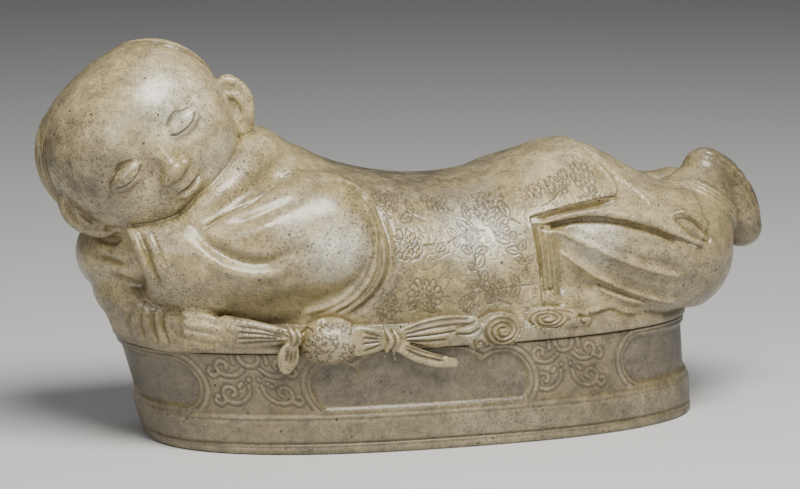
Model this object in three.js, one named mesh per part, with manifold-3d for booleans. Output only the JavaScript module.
// A hollow ceramic pillow: a child lying prone on an oval couch, head on folded arms.
// The potter's clay parts are separate solids, luted edge to edge with a thin joint between them.
// Millimetres, +Z up. The origin is the centre of the couch's underside, -X the head end, -Y the front.
import * as THREE from "three";
import { mergeVertices } from "three/addons/utils/BufferGeometryUtils.js";
import Module from "manifold-3d";

const wasm = await Module();
wasm.setup();

// Luting joint between neighbouring clay parts, and the thickness of the pressed walls
const joint = 0.3;
const wall = 7;
const headWall = 6;

// Couch: plan of the foot, plan of the rim, and the heights of its mouldings
const couch = {
  rimLength: 239,
  rimWidth: 118,
  lengthFlare: 9,
  widthFlare: 2,
  rimShift: -7.5,
  plan: 2.45,
  wallTop: 41,
  footBand: 5,
  groove: 0.9,
  grooveWidth: 0.8,
  plainBand: 16.4,
  ledge: 0.8,
  panelFloor: 18.6,
  sides: 44,
};
const floorThickness = 6;
const vent = { radius: 6, spacing: 90, sides: 20 };
const panel = {
  recess: 1.6,
  margin: 2.2,
  frontLength: 90,
  frontShift: -17,
  frontCentre: 52,
  lobeDrop: 4.5,
  endWidth: 92,
  endDrop: 2,
};
const deck = { rise: 9, shoulderRise: 4, lip: 1, roll: 3, slope: 8, openLength: 176, openWidth: 74 };
const deckTop = couch.wallTop + deck.rise;

// Body under the clothes: stations along X with the half width and the height above the couch
const bodyPlan = 2.3;
const archSides = 20;
const bodyFoot = deckTop + joint;
const bodyStations = [
  [-94, 24, 44],
  [-86, 31, 57],
  [-76, 37, 64.5],
  [-64, 43, 66.5],
  [-52, 46.5, 62.5],
  [-38, 49, 56],
  [-20, 50.5, 51],
  [2, 50.5, 48.5],
  [24, 50.5, 50.5],
  [42, 49.5, 56],
  [55, 49, 60],
  [67, 48, 60.5],
  [78, 46.5, 56],
  [90, 43, 49],
  [100, 38, 44],
  [108, 30, 38],
];
const robeLayer = 2.2;
const coatLayer = 1.2;
const flap = { bottomX: 35, slitX: 34, slitRise: 32, tipX: 76, tipRise: 41, topX: 66 };
const coatHem = [
  [30, 28],
  [45, 28.5],
  [64, 36],
  [84, 32.5],
  [104, 24],
  [107, 50],
];
const pleatWidth = 11;

// Limbs as chains of balls: [x, y, height above the couch, radius]
const sleeveFlat = 0.92;
const leftSleeveChain = [
  [-53, -31, 32, 27],
  [-72, -33, 29.5, 24],
  [-90, -33, 28, 20],
  [-106, -31, 28, 17.5],
  [-119, -28, 29, 15],
];
const rightSleeveChain = [
  [-56, 31, 32, 26.5],
  [-74, 34, 29, 22],
  [-94, 33, 26.5, 19],
  [-113, 25, 25, 17],
  [-124, 11, 24.5, 16],
  [-126, -4, 24.5, 15],
  [-121, -16, 26, 13],
];
const rightForearmChain = [
  [-124, 3, 16, 12],
  [-124.5, -8, 12, 12.5],
  [-121, -18, 7, 10.5],
  [-115.5, -26, 3, 7.4],
];
const rightHandChain = [
  [-111, -31, 2.5, 5.8],
  [-104, -35.5, 2, 6.6],
  [-97, -40, 0.5, 5.8],
  [-92, -43, -1, 4.4],
];
const leftThighChain = [
  [44, -23, 24, 26],
  [62, -24, 21.5, 26.5],
  [84, -23.5, 19, 26.5],
  [101, -21.5, 17.5, 25.5],
];
const leftShinChain = [
  [104, -19, 20, 21],
  [113, -13, 30, 18.5],
  [119, -10, 38, 14.5],
];
const rightShinChain = [
  [104, 19, 18, 21],
  [111, 16, 26, 18],
  [115, 15, 32, 14],
];
const shoeChain = [
  [0, 0, 0, 9.5],
  [5.5, -0.5, -5.5, 11],
  [11.5, -1.5, -14.5, 11],
  [16, -2, -24, 8.6],
];
const leftShoe = { fromAnkle: [2, 2, 10], turn: 0 };
const rightShoe = { fromAnkle: [1, 2, 4], turn: -0.35 };
const cuff = { thickness: 2.6, spread: 1.02, along: 0.6 };

// Head: a rounded skull set on its own axes, tilted with its cheek on the sleeves
const head = {
  middleX: -119,
  middleY: -4,
  rise: 71.5,
  crown: [-0.665, 0.13, 0.735],
  face: [-0.09, -0.985, 0.09],
  crownHeight: 33,
  jawHeight: 39,
  halfWidth: 39.5,
  halfDepth: 38.5,
  crownFullness: 2.35,
  jawNarrowing: 0.1,
  sides: 22,
  rings: 14,
};
const headCentre = [head.middleX, head.middleY, deckTop + head.rise];
const nose = { down: 9, sunk: 2, halfWidth: 5, halfHeight: 6.5, halfDepth: 5.5 };
const ear = { halfHeight: 13, halfWidth: 7.6, halfDepth: 4.2, bowl: 0.62, bowlShift: 1.5 };
const leftEar = { side: -1, sunk: 2.8, forward: 2.4, above: -18.1, upright: [-0.41, 0, 0.91], lean: 1 };
const rightEar = { side: 1, sunk: 4.8, forward: 14.5, above: -6.1, upright: [0.16, 0, 0.99], lean: -1 };
const hair = { thickness: 1.1, halfHeight: 21, halfDepth: 23, halfWidth: 24, back: 12, above: 17 };
const collar = { radius: 4.6, flat: 0.62 };
const collarChain = [
  [-101, -42, 47],
  [-90, -38.5, 54],
  [-78, -28, 62.5],
  [-69, -12, 69.5],
  [-67, 4, 71],
  [-71, 20, 67.5],
  [-82, 33, 57],
  [-95, 40, 47],
];

// Sprigs on the couch's edge: [x, distance out from the edge, height above the wall, radius]
const ball = { centre: [-54, -2.5, 4.5], halves: [12.6, 9, 9.4] };
const ribbonFlat = 0.42;
const leftRibbonChain = [
  [-93, -2.6, 9, 6],
  [-86, -0.8, 8.5, 5.6],
  [-78, 0.2, 8, 4.2],
  [-72, 1.2, 7.5, 3.2],
];
const leftKnot = { centre: [-68.6, 1.5, 7], radius: 3.6 };
const knotDepth = 0.8;
const leftTailChain = [
  [-70, 2.7, 3.5, 2.8],
  [-71.5, 3.4, -0.5, 4.4],
  [-72, 3.3, -4, 3],
];
const rightBandChain = [
  [-43, 0.2, 4.8, 6.2],
  [-38, 0.5, 4.8, 5.2],
  [-34, 0.6, 4.8, 4],
];
const rightKnot = { centre: [-30.5, 0.4, 4.6], radius: 4.2 };
const upperTailChain = [
  [-27, 0.3, 5.5, 3],
  [-19, -0.3, 6.2, 5],
  [-9, -1, 6.6, 6.2],
  [3, -1.9, 8.5, 3.4],
];
const lowerTailChain = [
  [-27.5, 1.3, 2, 2.4],
  [-20, 1.7, -2, 2.8],
  [-12, 1.8, -4.6, 2.6],
  [-5, 1.6, -6, 1.8],
];
const lowerCloud = { centre: [14, -2.6, 5], halfLength: 12.5, halfHeight: 6.6, depth: 5 };
const upperCloud = { centre: [42, -3.1, 7.5], halfLength: 14, halfHeight: 4.4, depth: 5 };
// Lobes of a cloud: place along it, then half length and half height, as shares of the whole
const cloudLobes = [
  [-0.5, 0.5, 0.8],
  [0.05, 0.7, 0.9],
  [0.6, 0.42, 0.76],
];
const sashEnd = { centre: [103, -38, 33], halves: [11, 8, 5.5] };

const clayColour = new THREE.Color(0.62, 0.55, 0.4);
const glaze = { roughness: 0.34, metalness: 0 };

// One closed surface through rings of points, with a fan over each end
function loft(rings) {
  const sides = rings[0].length;
  const points = rings.flat();
  const middle = (ring) => ring.reduce((sum, p) => sum.add(p), new THREE.Vector3()).divideScalar(sides);
  const firstCap = points.push(middle(rings[0])) - 1;
  const lastCap = points.push(middle(rings[rings.length - 1])) - 1;
  const lastRing = (rings.length - 1) * sides;
  const faces = [];
  for (let i = 0; i < sides; i++) {
    const next = (i + 1) % sides;
    faces.push([firstCap, next, i]);
    faces.push([lastCap, lastRing + i, lastRing + next]);
    for (let r = 0; r < lastRing; r += sides) {
      faces.push([r + i, r + next, r + sides + next]);
      faces.push([r + i, r + sides + next, r + sides + i]);
    }
  }
  const volume = faces.reduce((sum, [a, b, c]) => {
    return sum + points[a].dot(new THREE.Vector3().crossVectors(points[b], points[c]));
  }, 0);
  const outward = volume > 0 ? faces : faces.map(([a, b, c]) => [a, c, b]);
  return new THREE.BufferGeometry().setFromPoints(points).setIndex(outward.flat());
}

function solidOf(geometry) {
  const bare = geometry.clone();
  bare.deleteAttribute("normal");
  bare.deleteAttribute("uv");
  const merged = mergeVertices(bare, 1e-4);
  return new wasm.Manifold(
    new wasm.Mesh({
      numProp: 3,
      vertProperties: new Float32Array(merged.attributes.position.array),
      triVerts: new Uint32Array(merged.index.array),
    }),
  );
}

function geometryOf(solid) {
  const mesh = solid.getMesh();
  return new THREE.BufferGeometry()
    .setAttribute("position", new THREE.BufferAttribute(mesh.vertProperties, 3))
    .setIndex(new THREE.BufferAttribute(mesh.triVerts, 1));
}

const joined = (...solids) => solids.reduce((sum, next) => sum.add(next));
const cut = (solid, ...cutters) => cutters.reduce((rest, cutter) => rest.subtract(cutter), solid);
const mix = (a, b, share) => a + (b - a) * share;

// The largest closed body of a cut solid, without the slivers that a cut can leave
function mainBody(solid) {
  return solid.decompose().reduce((best, body) => (body.volume() > best.volume() ? body : best));
}

function signedPower(value, power) {
  return Math.sign(value) * Math.abs(value) ** power;
}

function ovalRing(centreX, halfLength, halfWidth, z) {
  const ring = [];
  for (let i = 0; i < couch.sides; i++) {
    const angle = (2 * Math.PI * i) / couch.sides;
    const x = centreX + halfLength * signedPower(Math.cos(angle), 2 / couch.plan);
    ring.push(new THREE.Vector3(x, halfWidth * signedPower(Math.sin(angle), 2 / couch.plan), z));
  }
  return ring;
}

// The couch's outline at a height, drawn in or out by an offset
function couchRing(z, offset) {
  const share = z / couch.wallTop;
  return ovalRing(
    couch.rimShift * share,
    (couch.rimLength - couch.lengthFlare * (1 - share)) / 2 + offset,
    (couch.rimWidth - couch.widthFlare * (1 - share)) / 2 + offset,
    z,
  );
}

// The wall's moulded face, from the foot to the rim
function couchBlock(offset) {
  const grooveTop = couch.footBand + couch.grooveWidth;
  const profile = [
    [0, 0],
    [couch.footBand, 0],
    [couch.footBand + joint, -couch.groove],
    [grooveTop, -couch.groove],
    [grooveTop + joint, 0],
    [couch.plainBand, 0],
    [couch.plainBand + joint, -couch.ledge],
    [couch.wallTop, -couch.ledge],
  ];
  return solidOf(loft(profile.map(([z, step]) => couchRing(z, step + offset))));
}

function prism(outline, depth) {
  return new THREE.ExtrudeGeometry(outline, { depth, bevelEnabled: false, curveSegments: 6 });
}

// Front panel: round lobes at both ends and a taller middle, drawn in X and Z
function frontPanelOutline() {
  const low = couch.panelFloor + panel.margin;
  const high = couch.wallTop - panel.margin;
  const lobeTop = high - panel.lobeDrop;
  const radius = (lobeTop - low) / 2;
  const half = panel.frontLength / 2;
  const outline = new THREE.Shape();
  outline.moveTo(-half + radius, low);
  outline.lineTo(half - radius, low);
  outline.absarc(half - radius, low + radius, radius, -Math.PI / 2, Math.PI / 2, false);
  outline.lineTo(panel.frontCentre / 2, lobeTop - panel.margin / 2);
  outline.quadraticCurveTo(panel.frontCentre / 2 - panel.margin, high, panel.frontCentre / 4, high);
  outline.lineTo(-panel.frontCentre / 4, high);
  const cusp = -panel.frontCentre / 2;
  outline.quadraticCurveTo(cusp + panel.margin, high, cusp, lobeTop - panel.margin / 2);
  outline.lineTo(-half + radius, lobeTop);
  outline.absarc(-half + radius, low + radius, radius, Math.PI / 2, (3 * Math.PI) / 2, false);
  return outline;
}

function endPanelOutline() {
  const low = couch.panelFloor + panel.margin;
  const high = couch.wallTop - panel.margin - panel.endDrop;
  const radius = (high - low) / 2;
  const half = panel.endWidth / 2;
  const outline = new THREE.Shape();
  outline.moveTo(-half + radius, low);
  outline.lineTo(half - radius, low);
  outline.absarc(half - radius, low + radius, radius, -Math.PI / 2, Math.PI / 2, false);
  outline.lineTo(-half + radius, high);
  outline.absarc(-half + radius, low + radius, radius, Math.PI / 2, (3 * Math.PI) / 2, false);
  return outline;
}

// A flat outline stood upright and pushed along Y or X through the wall
function uprightPrism(outline, heading, centreX) {
  const geometry = prism(outline, couch.rimLength);
  geometry.rotateX(Math.PI / 2);
  if (heading === "back") geometry.rotateZ(Math.PI);
  if (heading === "head") geometry.rotateZ(-Math.PI / 2);
  if (heading === "feet") geometry.rotateZ(Math.PI / 2);
  geometry.translate(centreX, 0, 0);
  return solidOf(geometry);
}

function couchWall() {
  const bore = solidOf(loft([couchRing(-joint, -wall), couchRing(couch.wallTop + joint, -wall)]));
  const depth = couch.ledge + panel.recess;
  const core = solidOf(loft([couchRing(0, -depth), couchRing(couch.wallTop, -depth)]));
  const skin = couchBlock(joint).subtract(core);
  const recesses = joined(
    uprightPrism(frontPanelOutline(), "front", panel.frontShift),
    uprightPrism(frontPanelOutline(), "back", panel.frontShift),
    uprightPrism(endPanelOutline(), "head", 0),
    uprightPrism(endPanelOutline(), "feet", 0),
  );
  return cut(couchBlock(0), bore, skin.intersect(recesses));
}

function couchFloor() {
  const slab = solidOf(loft([couchRing(0, -wall - joint), couchRing(floorThickness, -wall - joint)]));
  const drill = (x) => {
    const tool = new THREE.CylinderGeometry(vent.radius, vent.radius, 3 * floorThickness, vent.sides);
    return solidOf(tool.rotateX(Math.PI / 2).translate(x, 0, floorThickness / 2));
  };
  return cut(slab, drill(-vent.spacing / 2), drill(vent.spacing / 2));
}

// The couch's top: a slab with a rolled edge, open under the figure
function deckBlock(grow) {
  const shoulder = couch.wallTop + deck.shoulderRise;
  return solidOf(
    loft([
      couchRing(couch.wallTop + joint - grow, -couch.ledge + grow),
      couchRing(couch.wallTop + joint + deck.lip, grow),
      couchRing(shoulder, -joint + grow),
      couchRing(shoulder + deck.roll, -deck.roll + grow),
      couchRing(deckTop + grow, -deck.slope + grow),
    ]),
  );
}

function couchTop() {
  const half = deck.openLength / 2;
  const opening = loft([
    ovalRing(0, half, deck.openWidth / 2, couch.wallTop - joint),
    ovalRing(0, half, deck.openWidth / 2, deckTop + joint),
  ]);
  return deckBlock(0).subtract(solidOf(opening));
}

// An upright arch over the couch: flat sole, rounded back
function archRing([x, halfWidth, height], grow, foot) {
  const width = halfWidth + grow;
  const rise = deckTop + height + grow - foot;
  const ring = [];
  for (let i = 0; i <= archSides; i++) {
    const angle = (Math.PI * i) / archSides;
    const y = width * signedPower(Math.cos(angle), 2 / bodyPlan);
    const z = foot + rise * signedPower(Math.sin(angle), 2 / bodyPlan);
    ring.push(new THREE.Vector3(x, y, z));
  }
  return ring;
}

function bodyBlock(grow) {
  const last = bodyStations.length - 1;
  const rings = bodyStations.map((station, i) => {
    const ends = i === 0 ? -grow : i === last ? grow : 0;
    return archRing([station[0] + ends, station[1], station[2]], grow, bodyFoot);
  });
  return solidOf(loft(rings));
}

// The hollow inside the figure, open to the couch below
function bodyHollow() {
  const rings = bodyStations
    .slice(1, -1)
    .map((station) => archRing(station, -wall, deckTop - joint));
  return solidOf(loft(rings));
}

// A region seen from the front, heights taken from the couch, as a prism across the whole width
function sideRegion(points) {
  const outline = new THREE.Shape(points.map(([x, height]) => new THREE.Vector2(x, deckTop + height)));
  const geometry = prism(outline, couch.rimWidth * 2).rotateX(Math.PI / 2);
  return solidOf(geometry.translate(0, couch.rimWidth, 0));
}

const farLeft = -couch.rimLength;
const farUp = couch.rimLength;

function robeRegion(grow) {
  return sideRegion([
    [farLeft, -deckTop],
    [flap.bottomX + grow, -deckTop],
    [flap.slitX + grow, flap.slitRise - grow],
    [flap.tipX + grow, flap.tipRise - grow],
    [flap.topX + grow, farUp],
    [farLeft, farUp],
  ]);
}

function coatRegion(grow) {
  const hem = coatHem.map(([x, height]) => [x, height - grow]);
  const [endX] = hem[hem.length - 1];
  return sideRegion([...hem, [endX, farUp], [0, farUp], [0, flap.slitRise]]);
}

// Share of a step that the flat tip of a limb's dome takes
const domeTip = 0.35;

const onCouch = (places) => places.map(([x, y, height, radius]) => [x, y, deckTop + height, radius]);

// The couch's edge at a place along its front: [x, y, z] a distance out from it and above the wall
function atEdge([x, out, height, ...radius]) {
  const share = Math.abs(x - couch.rimShift) / (couch.rimLength / 2);
  const edge = (couch.rimWidth / 2) * (1 - share ** couch.plan) ** (1 / couch.plan);
  return [x, -edge - out, couch.wallTop + height, ...radius];
}

// A round limb through a chain of balls, with domed ends
function limb(chain, { grow = 0, flat = 1, sides = 20, steps = 12, dome = 3 } = {}) {
  const curve = new THREE.CatmullRomCurve3(chain.map(([x, y, z]) => new THREE.Vector3(x, y, z)));
  const radii = new THREE.CatmullRomCurve3(chain.map((stop, i) => new THREE.Vector3(i, stop[3], 0)));
  const ringAt = (share, push, scale) => {
    const t = curve.getUtoTmapping(share);
    const radius = radii.getPoint(t).y;
    const along = curve.getTangent(t);
    const side = new THREE.Vector3().crossVectors(along, new THREE.Vector3(0, 0, 1)).normalize();
    const up = new THREE.Vector3().crossVectors(side, along);
    const reach = radius * scale;
    const centre = curve.getPoint(t).addScaledVector(along, push * (radius * flat + grow));
    const ring = [];
    for (let i = 0; i < sides; i++) {
      const angle = (2 * Math.PI * i) / sides;
      const outSide = Math.cos(angle) * (reach * flat + grow * scale);
      const outUp = Math.sin(angle) * (reach + grow * scale);
      ring.push(centre.clone().addScaledVector(side, outSide).addScaledVector(up, outUp));
    }
    return ring;
  };
  const bend = (k) => (k / (dome + domeTip)) * (Math.PI / 2);
  const rings = [];
  for (let k = dome; k > 0; k--) rings.push(ringAt(0, -Math.sin(bend(k)), Math.cos(bend(k))));
  for (let k = 0; k <= steps; k++) rings.push(ringAt(k / steps, 0, 1));
  for (let k = 1; k <= dome; k++) rings.push(ringAt(1, Math.sin(bend(k)), Math.cos(bend(k))));
  return solidOf(loft(rings));
}

// A basis from a main axis and a rough facing direction
function axes(main, facing) {
  const up = new THREE.Vector3(...main).normalize();
  const out = new THREE.Vector3(...facing).addScaledVector(up, -up.dot(new THREE.Vector3(...facing)));
  out.normalize();
  const side = new THREE.Vector3().crossVectors(out, up);
  return new THREE.Matrix4().makeBasis(side, out, up);
}

const headAxes = axes(head.crown, head.face);

function placed(geometry, turn, centre) {
  return geometry.applyMatrix4(turn).translate(...centre);
}

function ellipsoid(halves, turn, centre, grow = 0, sides = 20, rings = 12) {
  const geometry = new THREE.SphereGeometry(1, sides, rings);
  geometry.scale(...halves.map((half) => half + grow));
  return solidOf(placed(geometry, turn, centre));
}

// The skull, a little narrower towards the jaw
function skull(grow) {
  const geometry = new THREE.SphereGeometry(1, head.sides, head.rings).rotateX(Math.PI / 2);
  const place = geometry.attributes.position;
  for (let i = 0; i < place.count; i++) {
    const rise = place.getZ(i);
    const around = Math.sqrt(1 - rise * rise) || 1;
    const full = rise > 0 ? (1 - rise ** head.crownFullness) ** (1 / head.crownFullness) / around : 1;
    const broad = full * (1 - head.jawNarrowing * Math.min(0, rise) ** 2);
    place.setXYZ(
      i,
      place.getX(i) * (head.halfWidth + grow) * broad,
      place.getY(i) * (head.halfDepth + grow) * broad,
      rise * ((rise > 0 ? head.crownHeight : head.jawHeight) + grow),
    );
  }
  return solidOf(placed(geometry, headAxes, headCentre));
}

function fromHead(side, out, up) {
  const at = new THREE.Vector3(side, out, up).applyMatrix4(headAxes);
  return at.add(new THREE.Vector3(...headCentre)).toArray();
}

// Everything on the face's side of the mould joint
function faceSide(gap) {
  const size = 4 * head.halfDepth;
  const block = new THREE.BoxGeometry(size, size, size).translate(0, size / 2 + gap, 0);
  return solidOf(placed(block, headAxes, headCentre));
}

function headFront() {
  const shell = skull(0).subtract(skull(-headWall));
  const halves = [nose.halfWidth, nose.halfDepth, nose.halfHeight];
  const bridge = ellipsoid(halves, headAxes, fromHead(0, head.halfDepth - nose.sunk, -nose.down), 0, 10, 8);
  return joined(shell, bridge.subtract(skull(-headWall / 2))).intersect(faceSide(0));
}

function headBack() {
  return cut(skull(0), skull(-headWall), faceSide(-joint));
}

function earShape({ side, sunk, forward, above, upright, lean }, grow) {
  const tilt = new THREE.Vector3(...upright).applyMatrix4(headAxes).toArray();
  const turn = axes(tilt, head.face);
  const centre = fromHead(side * (head.halfWidth - sunk), forward, above);
  const shell = ellipsoid([ear.halfWidth, ear.halfDepth, ear.halfHeight], turn, centre, grow, 16, 10);
  const step = new THREE.Vector3(lean * ear.bowlShift, ear.halfDepth, 0).applyMatrix4(turn);
  const bowlCentre = step.add(new THREE.Vector3(...centre)).toArray();
  const bowl = [ear.halfWidth, ear.halfDepth, ear.halfHeight].map((half) => half * ear.bowl - grow);
  return shell.subtract(ellipsoid(bowl, turn, bowlCentre, 0, 10, 6));
}

function hairPatch(side, grow) {
  const band = skull(joint + hair.thickness + grow).subtract(skull(joint - grow));
  const reach = [hair.halfWidth, hair.halfDepth, hair.halfHeight];
  const centre = fromHead(side * head.halfWidth, -hair.back, hair.above);
  return band.intersect(ellipsoid(reach, headAxes, centre, grow, 20, 10));
}

function collarBand(grow) {
  const chain = onCouch(collarChain).map((place) => [...place.slice(0, 3), collar.radius]);
  return limb(chain, { grow, flat: collar.flat, sides: 8, steps: 10, dome: 1 });
}

function shoe({ fromAnkle, turn }, shinChain, grow) {
  const ankle = onCouch(shinChain).pop();
  const heel = fromAnkle.map((step, i) => ankle[i] + step);
  const chain = shoeChain.map(([ahead, across, up, radius]) => [
    heel[0] + ahead * Math.cos(turn) - across * Math.sin(turn),
    heel[1] - ahead * Math.sin(turn) + across * Math.cos(turn),
    heel[2] + up,
    radius,
  ]);
  return limb(chain, { grow, sides: 14, steps: 5 });
}

// A rolled hem round the end of a trouser leg
function cuffRing(shinChain, grow) {
  const [low, high] = onCouch(shinChain).slice(-2);
  const centre = low.map((value, i) => mix(value, high[i], cuff.along));
  const along = new THREE.Vector3(high[0] - low[0], high[1] - low[1], high[2] - low[2]).normalize();
  const ring = new THREE.TorusGeometry(centre[3] * cuff.spread, cuff.thickness + grow, 6, 18);
  const turn = new THREE.Quaternion().setFromUnitVectors(new THREE.Vector3(0, 0, 1), along);
  return solidOf(ring.applyQuaternion(turn).translate(...centre.slice(0, 3)));
}

// A flat gathered ribbon, wide across the couch's edge and thin from it
function ribbon(chain, grow) {
  return limb(chain.map(atEdge), { grow, flat: ribbonFlat, sides: 8, steps: 4, dome: 1 });
}

const level = new THREE.Matrix4();

function knot({ centre, radius }, grow) {
  return ellipsoid([radius, radius * knotDepth, radius], level, atEdge(centre), grow, 10, 6);
}

// A lobed cloud plaque lying against the couch's rim
function cloudSprig({ centre, halfLength, halfHeight, depth }, grow) {
  const lobes = cloudLobes.map(([along, length, height]) => {
    const halves = [halfLength * length, depth, halfHeight * height];
    const place = atEdge([centre[0] + halfLength * along, centre[1], centre[2]]);
    return ellipsoid(halves, level, place, grow, 10, 6);
  });
  return joined(...lobes);
}

// The loose end of the sash, lying over the knee
function sashTail(grow) {
  const [x, y, height] = sashEnd.centre;
  return ellipsoid(sashEnd.halves, level, [x, y, deckTop + height], grow, 18, 10);
}

const mirrored = (chain) => chain.map(([x, y, z, radius]) => [x, -y, z, radius]);

function thigh(chain, grow) {
  return limb(onCouch(chain), { grow, sides: 18, steps: 4 });
}

function leg(thighChain, shinChain, grow) {
  return joined(thigh(thighChain, grow), limb(onCouch(shinChain), { grow, sides: 14, steps: 3 }));
}

// Body and thighs together, which the clothes lie over
function figureBlock(grow) {
  return joined(bodyBlock(grow), thigh(leftThighChain, grow), thigh(mirrored(leftThighChain), grow));
}

// Everything in front of the figure's middle plane, or behind it for side 1
function oneSide(side) {
  const size = 2 * couch.rimLength;
  const block = new THREE.BoxGeometry(size, size, size);
  return solidOf(block.translate(0, (side * (size - joint)) / 2, 0));
}

// The pleats that show below the robe's side slit, in front of the figure or behind it
function underRobe(side, grow) {
  const end = flap.bottomX + pleatWidth + grow;
  const region = sideRegion([
    [0, -deckTop],
    [end, -deckTop],
    [end, flap.slitRise],
    [0, flap.slitRise],
  ]);
  return cut(figureBlock(grow).intersect(region), oneSide(-side));
}

// Each clay part's own form, swollen by grow where it cuts a neighbour
const forms = {
  couch_wall: couchWall,
  couch_floor: couchFloor,
  couch_top: couchTop,
  robe: (grow) => figureBlock(robeLayer + grow).intersect(robeRegion(grow)),
  coat_tail: (grow) => figureBlock(coatLayer + grow).intersect(coatRegion(grow)),
  left_under_robe: (grow) => underRobe(-1, grow),
  right_under_robe: (grow) => underRobe(1, grow),
  left_trouser_leg: (grow) => leg(leftThighChain, leftShinChain, grow),
  right_trouser_leg: (grow) => leg(mirrored(leftThighChain), rightShinChain, grow),
  left_trouser_cuff: (grow) => cuffRing(leftShinChain, grow),
  right_trouser_cuff: (grow) => cuffRing(rightShinChain, grow),
  left_shoe: (grow) => shoe(leftShoe, leftShinChain, grow),
  right_shoe: (grow) => shoe(rightShoe, rightShinChain, grow),
  sash_end: sashTail,
  head_front: headFront,
  head_back: headBack,
  left_ear: (grow) => earShape(leftEar, grow),
  right_ear: (grow) => earShape(rightEar, grow),
  left_hair_patch: (grow) => hairPatch(-1, grow),
  right_hair_patch: (grow) => hairPatch(1, grow),
  collar: collarBand,
  left_sleeve: (grow) => limb(onCouch(leftSleeveChain), { grow, flat: sleeveFlat, sides: 16, steps: 5 }),
  right_sleeve: (grow) => limb(onCouch(rightSleeveChain), { grow, flat: sleeveFlat, sides: 14, steps: 8 }),
  right_forearm: (grow) => limb(onCouch(rightForearmChain), { grow, sides: 12, steps: 4 }),
  right_hand: (grow) => limb(onCouch(rightHandChain), { grow, sides: 10, steps: 4, dome: 2 }),
  silk_ball: (grow) => ellipsoid(ball.halves, level, atEdge(ball.centre), grow, 18, 10),
  left_ribbon: (grow) => ribbon(leftRibbonChain, grow),
  left_ribbon_knot: (grow) => knot(leftKnot, grow),
  left_ribbon_tail: (grow) => ribbon(leftTailChain, grow),
  right_ribbon: (grow) => ribbon(rightBandChain, grow),
  right_ribbon_knot: (grow) => knot(rightKnot, grow),
  upper_ribbon_tail: (grow) => ribbon(upperTailChain, grow),
  lower_ribbon_tail: (grow) => ribbon(lowerTailChain, grow),
  lower_cloud: (grow) => cloudSprig(lowerCloud, grow),
  upper_cloud: (grow) => cloudSprig(upperCloud, grow),
};

// Solids that cut many parts, made once
const couchCut = joined(couchBlock(joint), deckBlock(joint));
const skullCut = skull(joint);
const hollow = bodyHollow();
const skinCut = skull(joint + hair.thickness + joint);

const grownForms = new Map();
function grown(name) {
  if (!grownForms.has(name)) grownForms.set(name, forms[name](joint));
  return grownForms.get(name);
}

const clothes = ["robe", "coat_tail", "left_under_robe", "right_under_robe"];
const legs = ["left_trouser_leg", "right_trouser_leg"];

// What each part is cut by: its neighbours that keep their own form, then any shared solids
const cutters = {
  robe: [[], [skullCut, hollow, couchCut]],
  coat_tail: [["robe"], [hollow, couchCut]],
  left_under_robe: [["robe", "coat_tail"], [hollow, couchCut]],
  right_under_robe: [["robe", "coat_tail"], [hollow, couchCut]],
  left_trouser_leg: [clothes, [couchCut, hollow, oneSide(1)]],
  right_trouser_leg: [clothes, [couchCut, hollow, oneSide(-1)]],
  left_trouser_cuff: [[...legs, ...clothes], []],
  right_trouser_cuff: [[...legs, ...clothes, "left_trouser_cuff"], []],
  left_shoe: [[...legs, "left_trouser_cuff"], []],
  right_shoe: [[...legs, "left_shoe", "left_trouser_cuff", "right_trouser_cuff"], []],
  sash_end: [[...legs, ...clothes, "left_trouser_cuff"], []],
  left_ear: [[], [skullCut]],
  right_ear: [[], [skullCut]],
  left_hair_patch: [["left_ear"], []],
  right_hair_patch: [["right_ear"], []],
  left_sleeve: [["robe", "right_ear", "right_forearm", "right_hand"], [skinCut, couchCut]],
  right_sleeve: [["robe", "left_sleeve", "right_ear", "right_forearm", "right_hand"], [skinCut, couchCut]],
  right_forearm: [["robe"], [couchCut]],
  right_hand: [["right_forearm"], [couchCut]],
  collar: [["robe", "left_sleeve", "right_sleeve", "left_ear"], [skinCut]],
  silk_ball: [["robe", "left_sleeve"], [couchCut]],
  left_ribbon: [["right_hand", "left_sleeve", "robe", "left_ribbon_knot"], [couchCut]],
  left_ribbon_knot: [["silk_ball", "left_sleeve", "robe"], [couchCut]],
  left_ribbon_tail: [["silk_ball", "left_ribbon_knot", "left_ribbon"], [couchCut]],
  right_ribbon: [["silk_ball", "right_ribbon_knot", "robe"], [couchCut]],
  right_ribbon_knot: [["robe"], [couchCut]],
  upper_ribbon_tail: [["right_ribbon_knot", "robe"], [couchCut]],
  lower_ribbon_tail: [["right_ribbon_knot", "upper_ribbon_tail"], [couchCut]],
  lower_cloud: [["robe", "upper_ribbon_tail"], [couchCut]],
  upper_cloud: [["robe", "left_under_robe", "left_trouser_leg", "lower_cloud"], [couchCut]],
};

const group = new THREE.Group();
for (const [name, form] of Object.entries(forms)) {
  const [neighbours, shared] = cutters[name] ?? [[], []];
  const solid = mainBody(cut(form(0), ...neighbours.map(grown), ...shared));
  const mesh = new THREE.Mesh(
    geometryOf(solid),
    new THREE.MeshStandardMaterial({ color: clayColour, ...glaze }),
  );
  mesh.name = name;
  group.add(mesh);
}

export default group;
